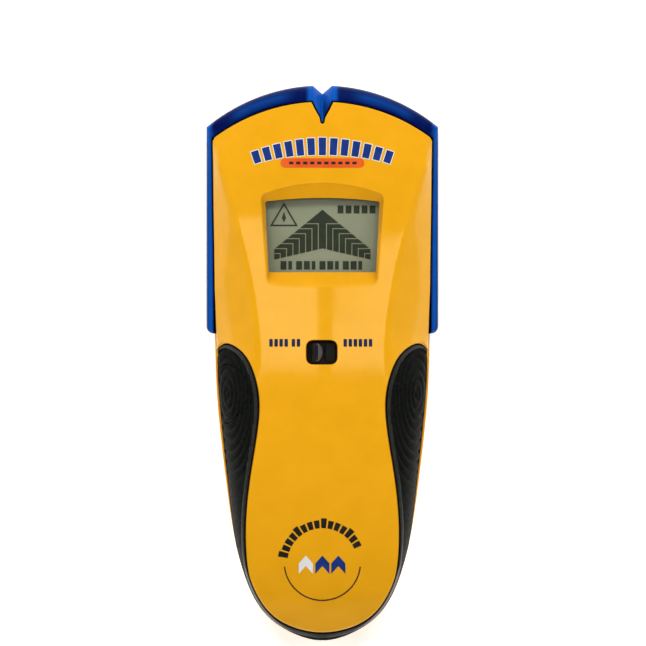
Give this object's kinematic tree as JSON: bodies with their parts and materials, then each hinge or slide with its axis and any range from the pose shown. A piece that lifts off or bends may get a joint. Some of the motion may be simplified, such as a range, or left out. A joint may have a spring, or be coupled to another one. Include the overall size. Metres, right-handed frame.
{
  "type": "stud finder",
  "caption": "Handheld stud finder: waisted yellow casing, translucent blue light bezel with pointer notch, sunk display, mode slide, ribbed rubber side grips.",
  "frame": {"origin": "centre of the bounding box, on the flat back of the casing", "axes": "+Z out of the display face, +Y along the tool towards the pointer notch, +X to the right of the display"},
  "size_m": [0.0762, 0.1822, 0.033],
  "materials": {
    "yellow_plastic": "glossy moulded",
    "blue_translucent": "glossy translucent",
    "black_rubber": "satin moulded rubber",
    "black_plastic": "fine matt",
    "clear_window": "clear polished plastic",
    "display_glass": "polished",
    "white_diffuser": "satin",
    "green_board": "solder mask",
    "chip_plastic": "moulded",
    "plated_steel": "plated",
    "brass_contact": "plated",
    "aluminium_can": "satin",
    "battery_jacket": "printed metal jacket",
    "red_insulation": "smooth",
    "black_insulation": "smooth",
    "grey_foam": "closed-cell foam"
  },
  "bodies": {
    "casing": {"rear_case": "yellow_plastic", "front_cover": "yellow_plastic", "light_bezel": "blue_translucent", "grip_overmould": "black_rubber", "power_switch_body": "black_plastic", "mode_switch_body": "plated_steel", "display_window": "clear_window", "window_gasket": "grey_foam", "lcd_panel": "display_glass", "lcd_backlight": "white_diffuser", "zebra_strip_lower": "chip_plastic", "zebra_strip_upper": "chip_plastic", "main_board": "green_board", "sensor_board": "green_board", "main_chip": "chip_plastic", "sensor_chip": "chip_plastic", "clock_crystal": "aluminium_can", "filter_capacitor": "aluminium_can", "buzzer": "black_plastic", "board_header": "black_plastic", "pointer_led": "blue_translucent", "battery_9v": "battery_jacket", "battery_terminal_positive": "plated_steel", "battery_terminal_negative": "plated_steel", "snap_contact_positive": "brass_contact", "snap_contact_negative": "brass_contact", "snap_plate": "black_plastic", "lead_red": "red_insulation", "lead_black": "black_insulation", "case_screw_head_left": "plated_steel", "case_screw_head_right": "plated_steel", "case_screw_tail_left": "plated_steel", "case_screw_tail_right": "plated_steel", "main_board_screw_left": "plated_steel", "main_board_screw_right": "plated_steel", "main_board_screw_tail": "plated_steel", "sensor_board_screw_left": "plated_steel", "sensor_board_screw_right": "plated_steel", "sensor_board_screw_head": "plated_steel"},
    "mode_slider": {"mode_knob": "black_plastic", "mode_switch_actuator": "black_plastic"},
    "power_key": {"power_button": "black_rubber", "power_switch_plunger": "black_plastic"},
    "door": {"battery_door": "yellow_plastic", "door_pad": "grey_foam"}
  },
  "joints": [
    {"name": "mode_slide", "type": "slide", "parent": "casing", "child": "mode_slider", "axis": [1, 0, 0], "range_m": [0, 0.003]},
    {"name": "power_press", "type": "slide", "parent": "casing", "child": "power_key", "axis": [1, 0, 0], "range_m": [0, 0.0008], "stiffness_N_per_m": 1500, "springref_m": -0.0004},
    {"name": "door_hinge", "type": "hinge", "parent": "casing", "child": "door", "pos_m": [0, -0.029, 0.0017], "axis": [1, 0, 0], "range_deg": [0, 100]}
  ]
}
